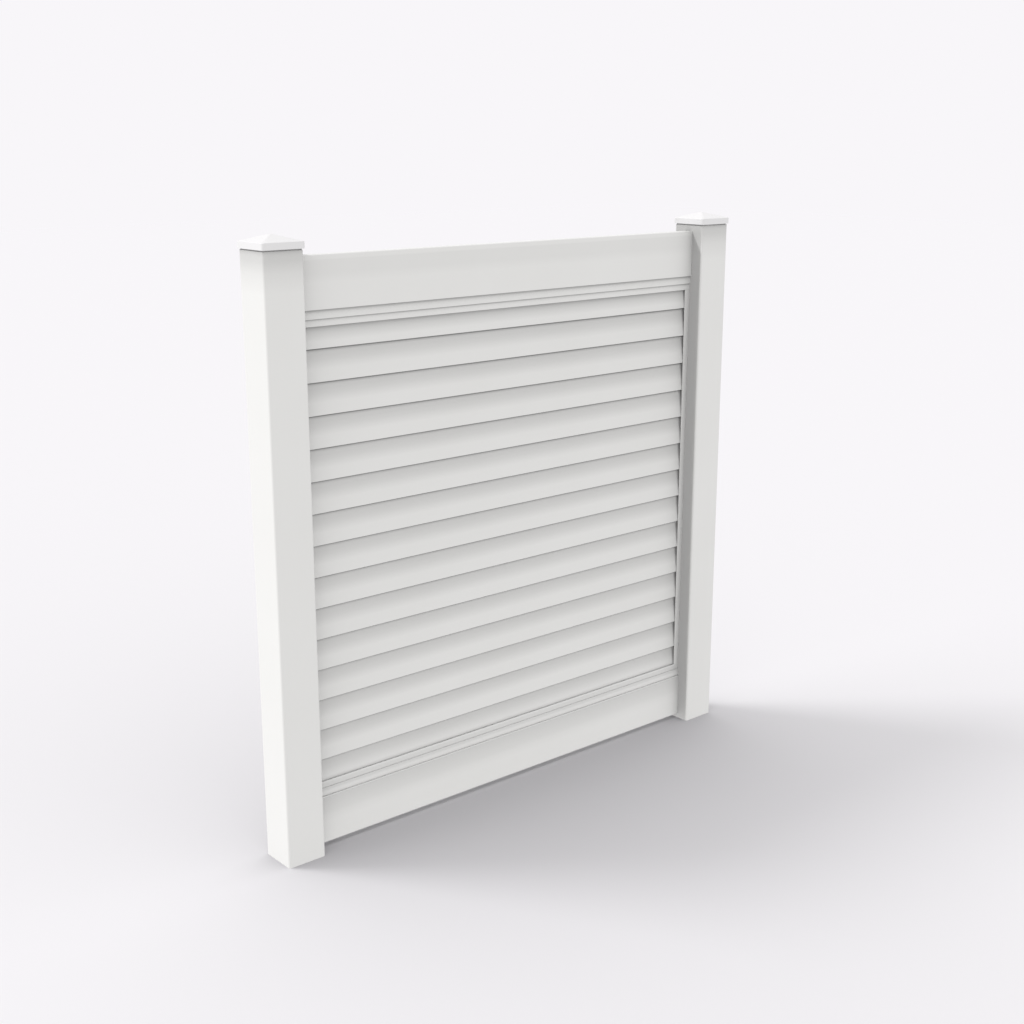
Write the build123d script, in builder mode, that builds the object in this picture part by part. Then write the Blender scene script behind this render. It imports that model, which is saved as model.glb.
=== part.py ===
from build123d import *
from math import ceil
import os

# A free-standing horizontal privacy fence panel: two square hollow posts with low pyramid caps, a stepped
# top rail and bottom rail let into the posts, and a stack of hollow lap boards held in side channels.
# Millimetres, +Z up. X runs along the fence, and the front looks along -Y.
# The origin is on the ground, midway between the posts and midway through the fence's thickness.

# Overall sizes
opening_width = 1648.0  # clear distance between the two posts
ground_gap = 15.0  # ground to the underside of the bottom rail
top_rail_drop = 19.7  # the posts' tops to the top rail's top
cut_overrun = 1.0  # how far a cutting shape runs past the face that it cuts

# Posts: square hollow extrusions
post_width = 132.0
post_wall = 3.8
post_corner_radius = 8.0
post_length = 1873.0
rail_hole_clearance = 0.4  # between a rail and the routed hole that it enters

# Post caps: a low pyramid on a square edge, with a narrow shadow gap over the post
cap_overhang = 4.5
cap_edge_height = 20.0
cap_rise = 20.0
cap_wall = 2.6
cap_corner_radius = 9.0
cap_rim_rounding = 2.2
cap_peak_width = 6.0
cap_peak_radius_share = 0.4  # of the peak's width
cap_reveal_height = 4.0
cap_reveal_inset = 2.5
cap_plug_gap = 4.0  # over the end of the top rail
cap_plug_clearance = 0.3
cap_seat_clearance = 0.1

# Rails: one hollow extrusion, upright at the top and turned over at the bottom
rail_thickness = 38.0
rail_face_height = 158.3  # the plain face
rail_band_height = 27.0  # the first step, beside the plain face
rail_lip_height = 21.5  # the second step, beside the boards
rail_band_setback = 4.0
rail_lip_setback = 2.4  # further back than the band
rail_wall = 2.6
rail_edge_radius = 6.0
rail_step_radius = 0.8
rail_web_share = 0.47  # the inner web's place up the plain face
board_pocket_depth = 25.6
rail_end_insertion = 35.0  # how far a rail runs into each post
tab_raise = 1.6
tab_length = 9.0
tab_height = 22.0
tab_gap = 0.6  # between a locking tab and the inside of the post's wall
drain_hole_diameter = 8.0
drain_hole_count = 3
drain_end_distance = 265.0  # from each post's face to the nearest drain hole

# Stiffener: a folded steel channel that lies in the bottom rail's lowest cell
stiffener_height = 58.0
stiffener_thickness = 1.6
stiffener_bend_radius = 4.0
stiffener_side_clearance = 0.4
stiffener_floor_clearance = 0.2
stiffener_end_gap = 6.0  # short of the bottom rail's end

# Side channels: U-shaped extrusions screwed to the posts
channel_depth = 25.4
channel_leg = 22.0
channel_wall = 2.0
channel_edge_radius = 0.6
channel_end_clearance = 0.2

# Boards: hollow, with a tongue and a groove; each front face leans back under the board above it
board_depth = 20.4
board_pitch = 98.95
board_setback = 12.2  # how far the face leans back over one pitch
board_wall = 1.8
board_nose_radius = 1.2
board_edge_radius = 0.8
board_end_gap = 4.0  # to the channel's web, which leaves room for the screw heads
board_stack_clearance = 0.2
board_web_count = 3
tongue_thickness = 3.6
tongue_height = 8.0
tongue_back_distance = 2.4  # from the board's back face
tongue_clearance = 0.3
top_board_clearance = 1.0  # under the ceiling of the top rail's pocket
top_board_least = 30.0  # the lowest height that the topmost board is made in

# Channel screws: pan heads and drill points
screw_diameter = 4.2
screw_length = 20.0
screw_tip_length = 4.0
screw_tip_taper = 20.0  # degrees
screw_head_diameter = 8.0
screw_head_height = 2.6
screw_head_rounding = 1.2
screw_hole_clearance = 0.1
screw_count = 4
screw_end_distance = 112.0  # from each rail to the nearest screw

# Base mounts: a steel plate with a welded pipe, inside each post
plate_clearance = 3.7  # to the inside of the post
plate_thickness = 8.0
plate_corner_radius = 6.0
anchor_edge_distance = 16.5  # from the plate's edges
anchor_hole_diameter = 12.0
pipe_diameter = 48.3
pipe_wall = 3.2
weld_size = 5.0
mount_height = 600.0

# Post locators: moulded plates that centre the post on the pipe
locator_thickness = 8.0
locator_hub_diameter = 62.0
locator_hub_height = 22.0
locator_clearance = 0.3
locator_hole_diameter = 20.0
locator_hole_edge_distance = 22.9  # from the plate's edges
locator_rail_gap = 14.0  # over the bottom rail
locator_top_gap = 40.0  # from the pipe's top

# Worked-out sizes
rail_height = rail_face_height + rail_band_height + rail_lip_height
rail_length = opening_width + 2 * rail_end_insertion
band_half = rail_thickness / 2 - rail_band_setback
lip_half = band_half - rail_lip_setback
bottom_rail_top = ground_gap + rail_height
top_rail_top = post_length - top_rail_drop
top_rail_bottom = top_rail_top - rail_height
infill_height = top_rail_bottom - bottom_rail_top
infill_middle = bottom_rail_top + infill_height / 2
post_inside = post_width - 2 * post_wall
post_inner_radius = post_corner_radius - post_wall
post_offset = (opening_width + post_width) / 2
plate_width = post_inside - 2 * plate_clearance
anchor_spacing = plate_width - 2 * anchor_edge_distance
locator_width = post_inside - 2 * locator_clearance
locator_hole_spacing = locator_width - 2 * locator_hole_edge_distance
drain_hole_spacing = (opening_width - 2 * drain_end_distance) / (drain_hole_count - 1)
channel_inside = channel_depth - 2 * channel_wall
board_length = opening_width - 2 * (channel_wall + board_end_gap)
full_board_height = board_pitch - board_stack_clearance
stack_bottom = bottom_rail_top - board_pocket_depth + board_stack_clearance
stack_top = top_rail_bottom + board_pocket_depth - top_board_clearance
board_count = ceil((stack_top - stack_bottom - top_board_least) / board_pitch)
top_board_height = stack_top - stack_bottom - (board_count - 1) * board_pitch
tongue_middle = board_depth / 2 - tongue_back_distance - tongue_thickness / 2
screw_spacing = (infill_height - 2 * screw_end_distance) / (screw_count - 1)
screw_places = [(0, (i - (screw_count - 1) / 2) * screw_spacing) for i in range(screw_count)]
UP, DOWN = 1, -1
SIDES = {"left": -1, "right": 1}


def section_plane(x, z, facing=UP):
    """A plane square to the fence's length, with its x axis towards the back and its y axis up or down."""
    return Plane(origin=(x, 0, z), x_dir=(0, 1, 0), z_dir=(facing, 0, 0))


def save(piece, name):
    piece.part.label = name
    export_step(piece.part, f"parts/{name}.step")


def rail_outline(plane, clearance=0.0):
    """A rail's outer shape, from its edge beside the boards to the far edge of its plain face."""
    half = rail_thickness / 2
    band_start = rail_lip_height
    face_start = rail_lip_height + rail_band_height
    front = [
        (lip_half, 0),
        (lip_half, band_start),
        (band_half, band_start),
        (band_half, face_start),
        (half, face_start),
        (half, rail_height),
    ]
    back = [(-x, y) for x, y in reversed(front)]
    steps = [rail_step_radius] * (len(front) - 1)
    with BuildSketch(plane) as outline:
        with BuildLine():
            FilletPolyline(*front, *back, radius=steps + [rail_edge_radius] * 2 + steps, close=True)
        make_face()
        if clearance:
            offset(amount=clearance)
    return outline.sketch


def rail_hollows(plane):
    """The pocket for the boards, one cell behind the band, and two cells behind the plain face."""
    face_inside = rail_thickness - 2 * rail_wall
    band_inside = 2 * (band_half - rail_wall)
    band_floor = board_pocket_depth + rail_wall
    face_start = rail_lip_height + rail_band_height
    face_floor = face_start + rail_wall
    web_floor = face_start + rail_web_share * rail_face_height
    last_floor = web_floor + rail_wall
    last_ceiling = rail_height - rail_wall
    with BuildSketch(plane) as hollows:
        with Locations((0, (board_pocket_depth - cut_overrun) / 2)):
            Rectangle(channel_inside, board_pocket_depth + cut_overrun)
        with Locations((0, (band_floor + face_start) / 2)):
            Rectangle(band_inside, face_start - band_floor)
        with Locations((0, (face_floor + web_floor) / 2)):
            Rectangle(face_inside, web_floor - face_floor)
        with Locations((0, (last_floor + last_ceiling) / 2)):
            RectangleRounded(face_inside, last_ceiling - last_floor, rail_edge_radius - rail_wall)
    return hollows.sketch


def build_rail(name, edge_z, facing, drained):
    plane = section_plane(-facing * rail_length / 2, edge_z, facing)
    tab_x = opening_width / 2 + post_wall + tab_gap + tab_length / 2
    tab_y = (rail_thickness + tab_raise) / 2
    tab_z = edge_z + facing * (rail_height - rail_face_height / 2)
    with BuildPart() as rail:
        extrude(rail_outline(plane), amount=rail_length)
        extrude(rail_hollows(plane), amount=rail_length, mode=Mode.SUBTRACT)
        # locking tabs, front and back, just inside each post's wall
        with Locations([(x, y, tab_z) for x in (-tab_x, tab_x) for y in (-tab_y, tab_y)]):
            Box(tab_length, tab_raise, tab_height)
        if drained:
            with Locations(Plane.XY.offset(edge_z + facing * rail_height)):
                with GridLocations(drain_hole_spacing, rail_thickness, drain_hole_count, 1):
                    Hole(drain_hole_diameter / 2, depth=rail_wall + cut_overrun)
    save(rail, name)


def build_stiffener():
    width = rail_thickness - 2 * (rail_wall + stiffener_side_clearance)
    length = rail_length - 2 * stiffener_end_gap
    floor = ground_gap + rail_wall + stiffener_floor_clearance
    inner_radius = stiffener_bend_radius - stiffener_thickness
    inner_width = width - 2 * stiffener_thickness
    with BuildPart() as stiffener:
        with BuildSketch(section_plane(-length / 2, floor)):
            with BuildLine():
                FilletPolyline(
                    (-width / 2, stiffener_height),
                    (-width / 2, 0),
                    (width / 2, 0),
                    (width / 2, stiffener_height),
                    radius=stiffener_bend_radius,
                )
                FilletPolyline(
                    (inner_width / 2, stiffener_height),
                    (inner_width / 2, stiffener_thickness),
                    (-inner_width / 2, stiffener_thickness),
                    (-inner_width / 2, stiffener_height),
                    radius=inner_radius,
                )
                Line((-width / 2, stiffener_height), (-inner_width / 2, stiffener_height))
                Line((width / 2, stiffener_height), (inner_width / 2, stiffener_height))
            make_face()
        extrude(amount=length)
    save(stiffener, "bottom_rail_stiffener")


def build_post(side, sign):
    cut_x = sign * (opening_width / 2 - cut_overrun)
    cut_depth = post_wall + 2 * cut_overrun
    with BuildPart() as post:
        with BuildSketch():
            with Locations((sign * post_offset, 0)):
                RectangleRounded(post_width, post_width, post_corner_radius)
                RectangleRounded(post_inside, post_inside, post_inner_radius, mode=Mode.SUBTRACT)
        extrude(amount=post_length)
        # routed holes for the two rails
        top_hole = rail_outline(section_plane(cut_x, top_rail_bottom, UP), rail_hole_clearance)
        bottom_hole = rail_outline(section_plane(cut_x, bottom_rail_top, DOWN), rail_hole_clearance)
        extrude(top_hole, amount=sign * cut_depth, mode=Mode.SUBTRACT)
        extrude(bottom_hole, amount=-sign * cut_depth, mode=Mode.SUBTRACT)
        # holes for the side channel's screws
        with BuildSketch(section_plane(cut_x, infill_middle)):
            with Locations(screw_places):
                Circle(screw_diameter / 2 + screw_hole_clearance)
        extrude(amount=sign * cut_depth, mode=Mode.SUBTRACT)
    save(post, f"{side}_post")


def build_cap(side, sign):
    edge_floor = post_length + cap_reveal_height
    edge_ceiling = edge_floor + cap_edge_height
    plug_floor = top_rail_top + cap_plug_gap
    cap_width = post_width + 2 * cap_overhang
    shoulder = post_width - 2 * cap_reveal_inset
    plug = post_inside - 2 * cap_plug_clearance
    hollow = plug - 2 * cap_wall
    hollow_ceiling = edge_ceiling - cap_wall
    hollow_rise = cap_rise * (hollow - cap_peak_width) / (cap_width - cap_peak_width)
    peak_radius = cap_peak_radius_share * cap_peak_width
    centre = (sign * post_offset, 0)
    with BuildPart() as cap:
        with BuildSketch(Plane.XY.offset(edge_floor)):
            with Locations(centre):
                RectangleRounded(cap_width, cap_width, cap_corner_radius)
        extrude(amount=cap_edge_height)
        # the low pyramid
        with BuildSketch(Plane.XY.offset(edge_ceiling)):
            with Locations(centre):
                RectangleRounded(cap_width, cap_width, cap_corner_radius)
        with BuildSketch(Plane.XY.offset(edge_ceiling + cap_rise)):
            with Locations(centre):
                RectangleRounded(cap_peak_width, cap_peak_width, peak_radius)
        loft(ruled=True)
        fillet(cap.edges().filter_by_position(Axis.Z, edge_ceiling, edge_ceiling), cap_rim_rounding)
        # a shoulder that seats on the post's rim, and a plug that fits inside the post
        with BuildSketch(Plane.XY.offset(post_length + cap_seat_clearance)):
            with Locations(centre):
                RectangleRounded(shoulder, shoulder, post_corner_radius - cap_reveal_inset)
        extrude(amount=cap_reveal_height - cap_seat_clearance)
        with BuildSketch(Plane.XY.offset(plug_floor)):
            with Locations(centre):
                RectangleRounded(plug, plug, post_inner_radius)
        extrude(amount=edge_floor - plug_floor)
        # hollow from below, up into the pyramid
        with BuildSketch(Plane.XY.offset(plug_floor)):
            with Locations(centre):
                Rectangle(hollow, hollow)
        extrude(amount=hollow_ceiling - plug_floor, mode=Mode.SUBTRACT)
        with BuildSketch(Plane.XY.offset(hollow_ceiling)):
            with Locations(centre):
                Rectangle(hollow, hollow)
        with BuildSketch(Plane.XY.offset(hollow_ceiling + hollow_rise)):
            with Locations(centre):
                Rectangle(cap_peak_width, cap_peak_width)
        loft(ruled=True, mode=Mode.SUBTRACT)
    save(cap, f"{side}_post_cap")


def build_channel(side, sign):
    web_x = sign * (opening_width / 2 - channel_wall - cut_overrun)
    with BuildPart() as channel:
        with BuildSketch(Plane.XY.offset(bottom_rail_top + channel_end_clearance)):
            with Locations((sign * (opening_width - channel_leg) / 2, 0)):
                RectangleRounded(channel_leg, channel_depth, channel_edge_radius)
            with Locations((sign * ((opening_width - channel_leg) / 2 - channel_wall), 0)):
                Rectangle(channel_leg, channel_inside, mode=Mode.SUBTRACT)
        extrude(amount=infill_height - 2 * channel_end_clearance)
        with BuildSketch(section_plane(web_x, infill_middle)):
            with Locations(screw_places):
                Circle(screw_diameter / 2 + screw_hole_clearance)
        extrude(amount=sign * (channel_wall + 2 * cut_overrun), mode=Mode.SUBTRACT)
    save(channel, f"{side}_side_channel")


def build_screws(side, sign):
    """Each screw's head bears on the channel's web, and its shank runs through the post's wall."""
    seat_x = opening_width / 2 - channel_wall
    seat = section_plane(sign * seat_x, infill_middle)
    tip_start = section_plane(sign * (seat_x + screw_length - screw_tip_length), infill_middle)
    with BuildPart() as screws:
        with BuildSketch(seat):
            with Locations(screw_places):
                Circle(screw_head_diameter / 2)
        extrude(amount=-sign * screw_head_height)
        crowns = screws.faces().sort_by(Axis.X, reverse=sign > 0)[-screw_count:]
        fillet([face.edges() for face in crowns], screw_head_rounding)
        with BuildSketch(seat):
            with Locations(screw_places):
                Circle(screw_diameter / 2)
        extrude(amount=sign * (screw_length - screw_tip_length))
        with BuildSketch(tip_start):
            with Locations(screw_places):
                Circle(screw_diameter / 2)
        extrude(amount=sign * screw_tip_length, taper=screw_tip_taper)
    save(screws, f"{side}_channel_screws")


def board_outline(plane, height, tongued):
    """A board's outer shape: a lip at the lower front, a groove below and a tongue on all but the topmost."""
    half = board_depth / 2
    face_top = -half + board_setback * height / board_pitch
    groove_width = tongue_thickness + 2 * tongue_clearance
    groove_depth = tongue_height + tongue_clearance
    with BuildSketch(plane) as outline:
        with BuildLine():
            FilletPolyline(
                (-half, 0),
                (half, 0),
                (half, height),
                (face_top, height),
                radius=[board_nose_radius] + [board_edge_radius] * 3,
                close=True,
            )
        make_face()
        if tongued:
            with Locations((tongue_middle, height + tongue_height / 2)):
                Rectangle(tongue_thickness, tongue_height)
        with Locations((tongue_middle, (groove_depth - cut_overrun) / 2)):
            Rectangle(groove_width, groove_depth + cut_overrun, mode=Mode.SUBTRACT)
    return outline.sketch


def board_cells(plane, height):
    """A board's hollows, parted by level webs and kept clear of the groove."""
    half = board_depth / 2
    face_top = -half + board_setback * height / board_pitch
    groove_front = tongue_middle - tongue_thickness / 2 - tongue_clearance - board_wall
    groove_top = tongue_height + tongue_clearance + board_wall
    web_step = (height - groove_top) / (board_web_count + 1)
    with BuildSketch(plane) as cells:
        with BuildLine():
            Polyline((-half, 0), (half, 0), (half, height), (face_top, height), close=True)
        make_face()
        offset(amount=-board_wall, kind=Kind.INTERSECTION)
        with Locations(((groove_front + half) / 2, groove_top / 2)):
            Rectangle(half - groove_front, groove_top, mode=Mode.SUBTRACT)
        with Locations([(0, groove_top + (i + 1) * web_step) for i in range(board_web_count)]):
            Rectangle(board_depth, board_wall, mode=Mode.SUBTRACT)
    return cells.sketch


def build_board(number):
    """Boards are numbered from the top; the topmost is a lower one that ends inside the top rail."""
    plane = section_plane(-board_length / 2, stack_bottom + (board_count - number) * board_pitch)
    topmost = number == 1
    height = top_board_height if topmost else full_board_height
    with BuildPart() as board:
        extrude(board_outline(plane, height, tongued=not topmost), amount=board_length)
        extrude(board_cells(plane, height), amount=board_length, mode=Mode.SUBTRACT)
    save(board, f"slat_{number:02d}")


def build_base_mount(side, sign):
    centre = (sign * post_offset, 0)
    pipe_radius = pipe_diameter / 2
    with BuildPart() as mount:
        with BuildSketch():
            with Locations(centre):
                RectangleRounded(plate_width, plate_width, plate_corner_radius)
                with GridLocations(anchor_spacing, anchor_spacing, 2, 2):
                    Circle(anchor_hole_diameter / 2, mode=Mode.SUBTRACT)
        extrude(amount=plate_thickness)
        with Locations((*centre, plate_thickness + weld_size / 2)):
            Cone(pipe_radius + weld_size, pipe_radius, weld_size)
        with BuildSketch(Plane.XY.offset(plate_thickness)):
            with Locations(centre):
                Circle(pipe_radius)
        extrude(amount=mount_height - plate_thickness)
        with BuildSketch(Plane.XY.offset(plate_thickness)):
            with Locations(centre):
                Circle(pipe_radius - pipe_wall)
        extrude(amount=mount_height - plate_thickness, mode=Mode.SUBTRACT)
    save(mount, f"{side}_base_mount")


def build_locators(side, sign):
    centre = (sign * post_offset, 0)
    low = bottom_rail_top + locator_rail_gap
    high = mount_height - locator_top_gap - locator_hub_height
    with BuildPart() as locators:
        for floor in (low, high):
            with BuildSketch(Plane.XY.offset(floor)):
                with Locations(centre):
                    RectangleRounded(locator_width, locator_width, post_inner_radius)
                    with GridLocations(locator_hole_spacing, locator_hole_spacing, 2, 2):
                        Circle(locator_hole_diameter / 2, mode=Mode.SUBTRACT)
            extrude(amount=locator_thickness)
            with BuildSketch(Plane.XY.offset(floor)):
                with Locations(centre):
                    Circle(locator_hub_diameter / 2)
            extrude(amount=locator_hub_height)
            with BuildSketch(Plane.XY.offset(floor)):
                with Locations(centre):
                    Circle(pipe_diameter / 2 + locator_clearance)
            extrude(amount=locator_hub_height, mode=Mode.SUBTRACT)
    save(locators, f"{side}_post_locators")


os.makedirs("parts", exist_ok=True)
build_rail("top_rail", top_rail_bottom, UP, drained=False)
build_rail("bottom_rail", bottom_rail_top, DOWN, drained=True)
build_stiffener()
for number in range(1, board_count + 1):
    build_board(number)
for side, sign in SIDES.items():
    build_post(side, sign)
    build_cap(side, sign)
    build_channel(side, sign)
    build_screws(side, sign)
    build_base_mount(side, sign)
    build_locators(side, sign)
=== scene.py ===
import math

import bpy
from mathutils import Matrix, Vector


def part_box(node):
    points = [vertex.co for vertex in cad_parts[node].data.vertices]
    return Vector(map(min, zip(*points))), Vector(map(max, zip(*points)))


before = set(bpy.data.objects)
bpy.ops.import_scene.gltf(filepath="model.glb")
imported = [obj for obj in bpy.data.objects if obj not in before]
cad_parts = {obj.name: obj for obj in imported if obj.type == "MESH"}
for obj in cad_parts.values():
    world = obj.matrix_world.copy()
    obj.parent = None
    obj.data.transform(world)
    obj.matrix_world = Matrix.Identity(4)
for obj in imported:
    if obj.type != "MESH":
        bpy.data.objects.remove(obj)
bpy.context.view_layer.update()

# Camera, in metres and degrees: yaw runs from +Y towards +X, and a pitch below the horizon is negative
CAMERA_PLACE = (-3.0289, -3.5538, 2.1895)
CAMERA_YAW = 40.43
CAMERA_PITCH = -14.76
CAMERA_LEVEL = 90.0  # the turn about X at which a Blender camera looks at the horizon
CAMERA_REACH = 100.0
FOCAL_PIXELS = 1438.5
FRAME_PIXELS = 1024
SENSOR_WIDTH = 36.0  # millimetres

# Studio lamps: azimuth from the back towards the right, elevation, width of the lamp in the sky (degrees),
# strength, and what the lamp lights. The fence has a sharp edge of light and the floor a soft shadow, which
# no single lamp gives, so each of them has lamps of its own.
LAMPS = {
    "fence_key": (-58.0, 41.0, 5.0, 1.28, "fence"),
    "floor_key": (-42.0, 50.0, 18.0, 0.80, "floor"),
    "floor_overhead": (0.0, 90.0, 20.0, 0.19, "floor"),
    "floor_fill": (-65.0, 14.0, 40.0, 0.54, "floor"),
}
SKY_STRENGTH = 0.83

# Backdrop, which stands where the sky is seen directly, and floor
WHITE = (1.0, 1.0, 1.0, 1.0)
BACKDROP_COLOR = (0.939, 0.922, 0.947, 1.0)
BACKDROP_STRENGTH = 1.0
FLOOR_COLOR = (0.834, 0.819, 0.841, 1.0)
FLOOR_SIZE = 60.0

# Noise in the object's own frame: how it is drawn out along X, Y and Z, its detail, and the two values
# between which one tone turns into the other
ALONG = (0.02, 1.0, 1.0)
UPRIGHT = (1.0, 1.0, 0.02)
EVEN = (1.0, 1.0, 1.0)
NOISE_DETAIL = 3.0
TONE_ENDS = (0.3, 0.7)

# Vinyl: the tones that cloud into each other, and the gloss that changes along the drawing lines
VINYL_TONES = ((0.852, 0.846, 0.830, 1.0), (0.868, 0.862, 0.848, 1.0))
CAP_TONES = ((0.856, 0.846, 0.850, 1.0), (0.872, 0.862, 0.868, 1.0))
CLOUD_SCALE = 3.0
LINE_SCALE = 60.0
LINE_BUMP = (0.12, 0.0004)  # strength, and height in metres
VINYL_ROUGHNESS = (0.36, 0.46)
VINYL_SPECULAR = 0.4
VINYL_BOUNCE = (0.06, 0.06, 0.06, 1.0)  # its colour for the rays that carry light from face to face

# Painted shade in the creases, darker where the surfaces around close in: (how far it reaches in metres,
# and the least that it leaves of the colour)
BOARD_CREASE = (0.012, 0.97)
TOP_RAIL_CREASE = (0.03, 0.6)
BOTTOM_RAIL_CREASE = (0.003, 0.95)
POST_CREASE = (0.06, 0.84)
CHANNEL_CREASE = (0.012, 0.95)
CAP_CREASE = (0.02, 0.7)
CREASE_POWER = 5.0
CREASE_SAMPLES = 16

# Painted shade on the rails, darker in bands and under the steps: (metres above the rail's underside, what
# it leaves of the colour there)
TOP_RAIL_PAINTED_SHADE = ((0.1255, 1.0), (0.1535, 0.95), (0.1895, 0.95), (0.1945, 1.0))
BOTTOM_RAIL_PAINTED_SHADE = (
    (0.070, 1.0),
    (0.090, 0.965),
    (0.105, 0.91),
    (0.145, 0.83),
    (0.154, 0.80),
    (0.158, 1.0),
    (0.170, 1.0),
    (0.181, 0.85),
    (0.187, 0.92),
    (0.197, 0.89),
    (0.203, 0.95),
    (0.206, 1.0),
)

# Painted shade on the posts under their tops, and on the topmost board under the top rail: (metres from
# there, where below is negative, and what it leaves of the colour)
POST_PAINTED_SHADE = ((-0.118, 1.0), (-0.063, 0.92), (-0.028, 0.81))
TOP_BOARD_PAINTED_SHADE = ((-0.0445, 1.0), (-0.0285, 0.9), (-0.0065, 0.86))

# Painted shade under each board's lip: (height above the lip below it, as a share of the boards' pitch, and
# what it leaves of the colour there)
LIP_PAINTED_SHADE = (
    (0.38, 1.0),
    (0.53, 0.925),
    (0.65, 0.862),
    (0.78, 0.835),
    (0.84, 0.855),
    (0.895, 0.89),
    (0.935, 0.80),
    (0.95, 0.59),
    (0.965, 0.36),
)
BOARD_FRONT = 0.004  # the boards' faces lie in front of this Y, and their backs behind it

# Metal: darkest and lightest tone, roughness, and the scale of the mottling
GALVANISED = ((0.42, 0.44, 0.46, 1.0), (0.62, 0.64, 0.66, 1.0), 0.45, 140.0)
STAINLESS = ((0.62, 0.62, 0.62, 1.0), (0.7, 0.7, 0.7, 1.0), 0.28, 900.0)

# Moulded plastic
PLASTIC_TONES = ((0.022, 0.022, 0.024, 1.0), (0.032, 0.032, 0.034, 1.0))
PLASTIC_ROUGHNESS = 0.6
GRAIN_SCALE = 900.0
GRAIN_BUMP = (0.3, 0.0003)  # strength, and height in metres

# Places of the colours among a Mix node's sockets
MIX_FIRST, MIX_SECOND, MIX_RESULT = 6, 7, 2


def grey(shade):
    return (shade, shade, shade, 1.0)


def new_material(name, kind="ShaderNodeBsdfPrincipled"):
    """A material with one shader, and its tree and shader to go on with."""
    material = bpy.data.materials.new(name)
    material.use_nodes = True
    tree = material.node_tree
    tree.nodes.clear()
    output = tree.nodes.new("ShaderNodeOutputMaterial")
    shader = tree.nodes.new(kind)
    tree.links.new(shader.outputs["BSDF"], output.inputs["Surface"])
    return material, tree, shader


def put(tree, value, socket):
    """Gives an input its value, which is another node's output, a number or a colour."""
    if isinstance(value, bpy.types.NodeSocket):
        tree.links.new(value, socket)
    else:
        socket.default_value = value


def math_node(tree, operation, *values, clamp=False):
    node = tree.nodes.new("ShaderNodeMath")
    node.operation = operation
    node.use_clamp = clamp
    for socket, value in zip(node.inputs, values):
        put(tree, value, socket)
    return node.outputs["Value"]


def mixed(tree, factor, first, second, blend="MIX"):
    """The first colour where the factor is 0, and the second one blended over it where it is 1."""
    mix = tree.nodes.new("ShaderNodeMix")
    mix.data_type = "RGBA"
    mix.blend_type = blend
    put(tree, factor, mix.inputs["Factor"])
    put(tree, first, mix.inputs[MIX_FIRST])
    put(tree, second, mix.inputs[MIX_SECOND])
    return mix.outputs[MIX_RESULT]


def multiplied(tree, color, shade):
    """A colour times a grey shade."""
    return mixed(tree, 1.0, color, shade, "MULTIPLY")


def color_ramp(tree, value, stops):
    """Colours along stops of (position, colour)."""
    node = tree.nodes.new("ShaderNodeValToRGB")
    elements = node.color_ramp.elements
    elements.remove(elements[1])
    for index, (position, color) in enumerate(stops):
        element = elements.new(position) if index else elements[0]
        element.position = position
        element.color = color
    tree.links.new(value, node.inputs["Fac"])
    return node.outputs["Color"]


def two_tones(tree, value, tones):
    return color_ramp(tree, value, zip(TONE_ENDS, tones))


def graded(tree, value, stops):
    """A shade that changes with a value, along stops of (value, shade)."""
    first, last = stops[0][0], stops[-1][0]
    scaled = tree.nodes.new("ShaderNodeMapRange")
    scaled.inputs["From Min"].default_value = first
    scaled.inputs["From Max"].default_value = last
    tree.links.new(value, scaled.inputs["Value"])
    shares = [((place - first) / (last - first), grey(shade)) for place, shade in stops]
    return color_ramp(tree, scaled.outputs["Result"], shares)


def object_place(tree):
    return tree.nodes.new("ShaderNodeTexCoord").outputs["Object"]


def object_axis(tree, axis):
    parts = tree.nodes.new("ShaderNodeSeparateXYZ")
    tree.links.new(object_place(tree), parts.inputs["Vector"])
    return parts.outputs[axis]


def noise(tree, stretch, scale):
    mapping = tree.nodes.new("ShaderNodeMapping")
    mapping.inputs["Scale"].default_value = stretch
    node = tree.nodes.new("ShaderNodeTexNoise")
    node.inputs["Scale"].default_value = scale
    node.inputs["Detail"].default_value = NOISE_DETAIL
    tree.links.new(object_place(tree), mapping.inputs["Vector"])
    tree.links.new(mapping.outputs["Vector"], node.inputs["Vector"])
    return node.outputs["Fac"]


def bumped(tree, relief, strength, height):
    bump = tree.nodes.new("ShaderNodeBump")
    bump.inputs["Strength"].default_value = strength
    bump.inputs["Distance"].default_value = height
    tree.links.new(relief, bump.inputs["Height"])
    return bump.outputs["Normal"]


def seen_directly(tree):
    """1 for camera, glossy and transmission rays, and 0 for the rays that light the object."""
    rays = tree.nodes.new("ShaderNodeLightPath").outputs
    total = rays["Is Camera Ray"]
    for name in ("Is Glossy Ray", "Is Transmission Ray"):
        total = math_node(tree, "ADD", total, rays[name], clamp=True)
    return total


def painted_crease_shade(tree, reach, least, alone):
    """Painted shade in laps, steps and corners: falls from 1 to least as the surfaces around close in."""
    crease = tree.nodes.new("ShaderNodeAmbientOcclusion")
    crease.samples = CREASE_SAMPLES
    crease.inputs["Distance"].default_value = reach
    crease.only_local = alone
    return math_node(tree, "MAXIMUM", math_node(tree, "POWER", crease.outputs["AO"], CREASE_POWER), least)


def underside(node):
    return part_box(node)[0].z


def top(node):
    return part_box(node)[1].z


def height_painted_shade(level, stops):
    """Painted shade that changes with the height, which its stops count from a level."""
    heights = [(level + rise, shade) for rise, shade in stops]
    return lambda tree: graded(tree, object_axis(tree, "Z"), heights)


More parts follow.
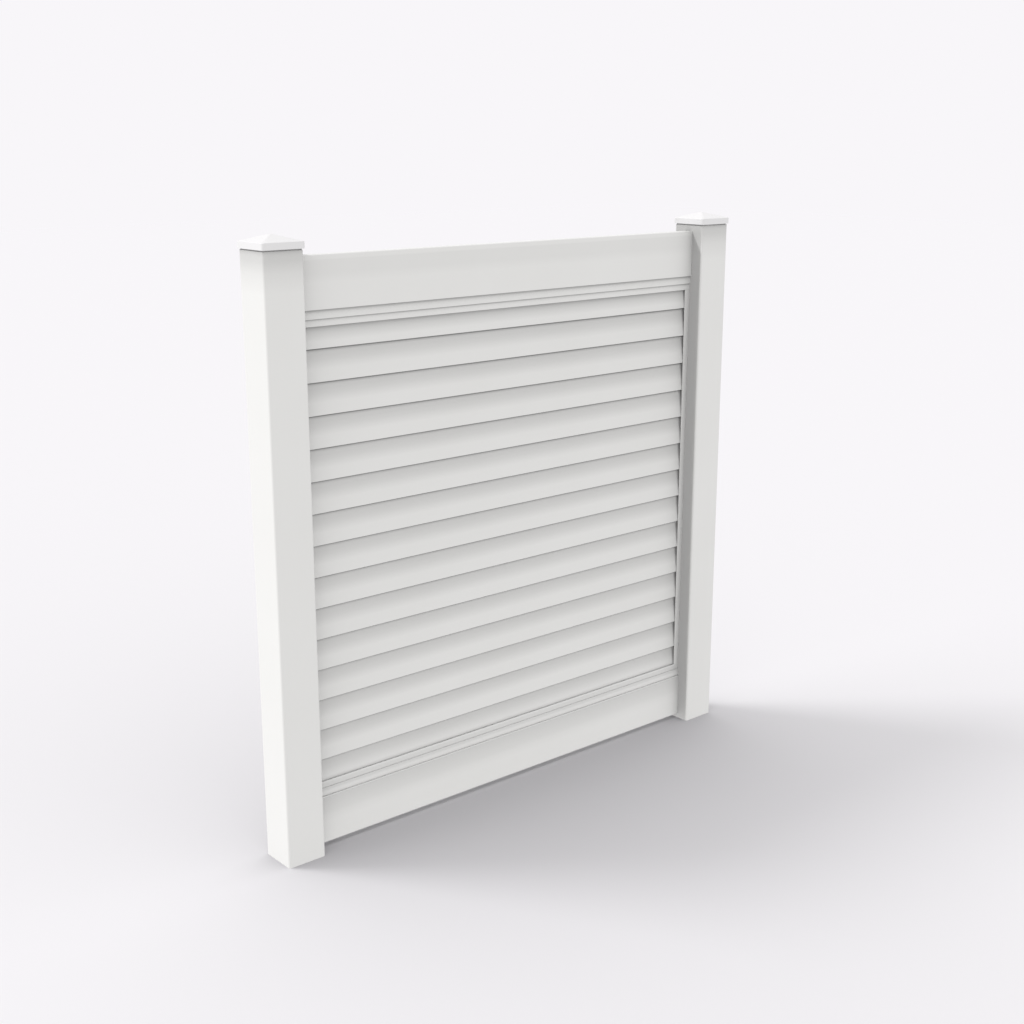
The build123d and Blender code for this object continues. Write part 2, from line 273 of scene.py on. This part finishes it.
def lip_painted_shade(tree):
    """Painted shade on the boards' front faces, under the lips and under the top rail."""
    lips = sorted(underside(name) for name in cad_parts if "slat" in name)
    pitch = (lips[-1] - lips[0]) / (len(lips) - 1)
    height = math_node(tree, "SUBTRACT", object_axis(tree, "Z"), lips[0])
    boards = math_node(tree, "DIVIDE", height, pitch)
    under_lip = graded(tree, math_node(tree, "FRACT", boards), LIP_PAINTED_SHADE)
    under_rail = height_painted_shade(underside("top_rail"), TOP_BOARD_PAINTED_SHADE)(tree)
    front = math_node(tree, "LESS_THAN", object_axis(tree, "Y"), BOARD_FRONT)
    return mixed(tree, front, WHITE, multiplied(tree, under_lip, under_rail))


def vinyl(name, stretch, crease, painted_shade=None, alone=False, tones=VINYL_TONES):
    """White vinyl with faint drawing lines along the extrusion and a slightly uneven gloss.

    Where alone is true, only the piece's own faces close in its creases.
    """
    material, tree, shader = new_material(name)
    lines = noise(tree, stretch, LINE_SCALE)
    color = two_tones(tree, noise(tree, EVEN, CLOUD_SCALE), tones)
    # Painted shade in the creases
    color = multiplied(tree, color, painted_crease_shade(tree, *crease, alone))
    # Painted shade that changes with the height or lies under the lips, where given
    if painted_shade is not None:
        color = multiplied(tree, color, painted_shade(tree))
    color = mixed(tree, seen_directly(tree), VINYL_BOUNCE, color)
    gloss = two_tones(tree, lines, map(grey, VINYL_ROUGHNESS))
    tree.links.new(color, shader.inputs["Base Color"])
    tree.links.new(gloss, shader.inputs["Roughness"])
    tree.links.new(bumped(tree, lines, *LINE_BUMP), shader.inputs["Normal"])
    shader.inputs["Specular IOR Level"].default_value = VINYL_SPECULAR
    return material


def rail_vinyl(rail, crease, stops):
    # The rail's vinyl carries painted shade that changes with the height above its underside
    return vinyl(f"vinyl_{rail}", ALONG, crease, height_painted_shade(underside(rail), stops), alone=True)


def steel(name, low, high, roughness, scale):
    """Metal with a mottled face."""
    material, tree, shader = new_material(name)
    mottling = tree.nodes.new("ShaderNodeTexVoronoi")
    mottling.inputs["Scale"].default_value = scale
    tree.links.new(object_place(tree), mottling.inputs["Vector"])
    color = color_ramp(tree, mottling.outputs["Color"], ((0.0, low), (1.0, high)))
    tree.links.new(color, shader.inputs["Base Color"])
    shader.inputs["Metallic"].default_value = 1.0
    shader.inputs["Roughness"].default_value = roughness
    return material


def moulded_plastic(name):
    """Black plastic with a fine grain."""
    material, tree, shader = new_material(name)
    grain = noise(tree, EVEN, GRAIN_SCALE)
    tree.links.new(two_tones(tree, grain, PLASTIC_TONES), shader.inputs["Base Color"])
    tree.links.new(bumped(tree, grain, *GRAIN_BUMP), shader.inputs["Normal"])
    shader.inputs["Roughness"].default_value = PLASTIC_ROUGHNESS
    return material


def dress_nodes():
    """Every CAD node gets the finish of the first word below that its name holds."""
    galvanised = steel("galvanised_steel", *GALVANISED)
    finishes = {
        "post_cap": vinyl("vinyl_moulded", EVEN, CAP_CREASE, tones=CAP_TONES),
        "post_locators": moulded_plastic("locator_plastic"),
        "post": vinyl("vinyl_post", UPRIGHT, POST_CREASE, height_painted_shade(top("left_post"), POST_PAINTED_SHADE)),
        "side_channel": vinyl("vinyl_standing", UPRIGHT, CHANNEL_CREASE),
        "channel_screws": steel("stainless_screw", *STAINLESS),
        "base_mount": galvanised,
        "stiffener": galvanised,
        "top_rail": rail_vinyl("top_rail", TOP_RAIL_CREASE, TOP_RAIL_PAINTED_SHADE),
        "bottom_rail": rail_vinyl("bottom_rail", BOTTOM_RAIL_CREASE, BOTTOM_RAIL_PAINTED_SHADE),
        "slat": vinyl("vinyl_board", ALONG, BOARD_CREASE, lip_painted_shade),
    }
    for name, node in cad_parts.items():
        word = next(word for word in finishes if word in name)
        node.data.materials.clear()
        node.data.materials.append(finishes[word])


def add_floor():
    """A plain matt floor, which takes the fence's shadow and sends no light or shadow back."""
    half = FLOOR_SIZE / 2
    corners = [(-half, -half, 0), (half, -half, 0), (half, half, 0), (-half, half, 0)]
    mesh = bpy.data.meshes.new("floor")
    mesh.from_pydata(corners, [], [(0, 1, 2, 3)])
    material, _, shader = new_material("floor", "ShaderNodeBsdfDiffuse")
    shader.inputs["Color"].default_value = FLOOR_COLOR
    mesh.materials.append(material)
    floor = bpy.data.objects.new("floor", mesh)
    bpy.context.scene.collection.objects.link(floor)
    floor.visible_shadow = False
    floor.visible_diffuse = False
    return floor


def receivers(name, floor, state):
    """What a lamp lights: the floor alone (INCLUDE) or all but the floor (EXCLUDE)."""
    group = bpy.data.collections.new(name)
    group.objects.link(floor)
    group.collection_objects[0].light_linking.link_state = state
    return group


def add_lamps(floor):
    lit = {
        "fence": receivers("all_but_floor", floor, "EXCLUDE"),
        "floor": receivers("floor_only", floor, "INCLUDE"),
    }
    for name, (azimuth, elevation, width, strength, target) in LAMPS.items():
        turn, rise = math.radians(azimuth), math.radians(elevation)
        place = Vector((math.sin(turn) * math.cos(rise), math.cos(turn) * math.cos(rise), math.sin(rise)))
        data = bpy.data.lights.new(name, "SUN")
        data.energy = strength
        data.angle = math.radians(width)
        lamp = bpy.data.objects.new(name, data)
        lamp.rotation_euler = place.to_track_quat("Z", "Y").to_euler()
        lamp.light_linking.receiver_collection = lit[target]
        bpy.context.scene.collection.objects.link(lamp)


def background(tree, color, strength):
    node = tree.nodes.new("ShaderNodeBackground")
    node.inputs["Color"].default_value = color
    node.inputs["Strength"].default_value = strength
    return node.outputs["Background"]


def add_world():
    """Even white light from all sides, and the backdrop where the sky is seen directly."""
    world = bpy.data.worlds.new("studio")
    bpy.context.scene.world = world
    world.use_nodes = True
    tree = world.node_tree
    tree.nodes.clear()
    output = tree.nodes.new("ShaderNodeOutputWorld")
    mix = tree.nodes.new("ShaderNodeMixShader")
    factor, unseen, seen = mix.inputs
    tree.links.new(seen_directly(tree), factor)
    tree.links.new(background(tree, WHITE, SKY_STRENGTH), unseen)
    tree.links.new(background(tree, BACKDROP_COLOR, BACKDROP_STRENGTH), seen)
    tree.links.new(mix.outputs["Shader"], output.inputs["Surface"])


def add_camera():
    data = bpy.data.cameras.new("camera")
    data.sensor_width = SENSOR_WIDTH
    data.lens = FOCAL_PIXELS / FRAME_PIXELS * SENSOR_WIDTH
    data.clip_end = CAMERA_REACH
    camera = bpy.data.objects.new("camera", data)
    camera.location = CAMERA_PLACE
    camera.rotation_euler = (math.radians(CAMERA_LEVEL + CAMERA_PITCH), 0.0, -math.radians(CAMERA_YAW))
    bpy.context.scene.collection.objects.link(camera)
    bpy.context.scene.camera = camera


dress_nodes()
add_lamps(add_floor())
add_world()
add_camera()
bpy.context.scene.view_settings.view_transform = "Standard"
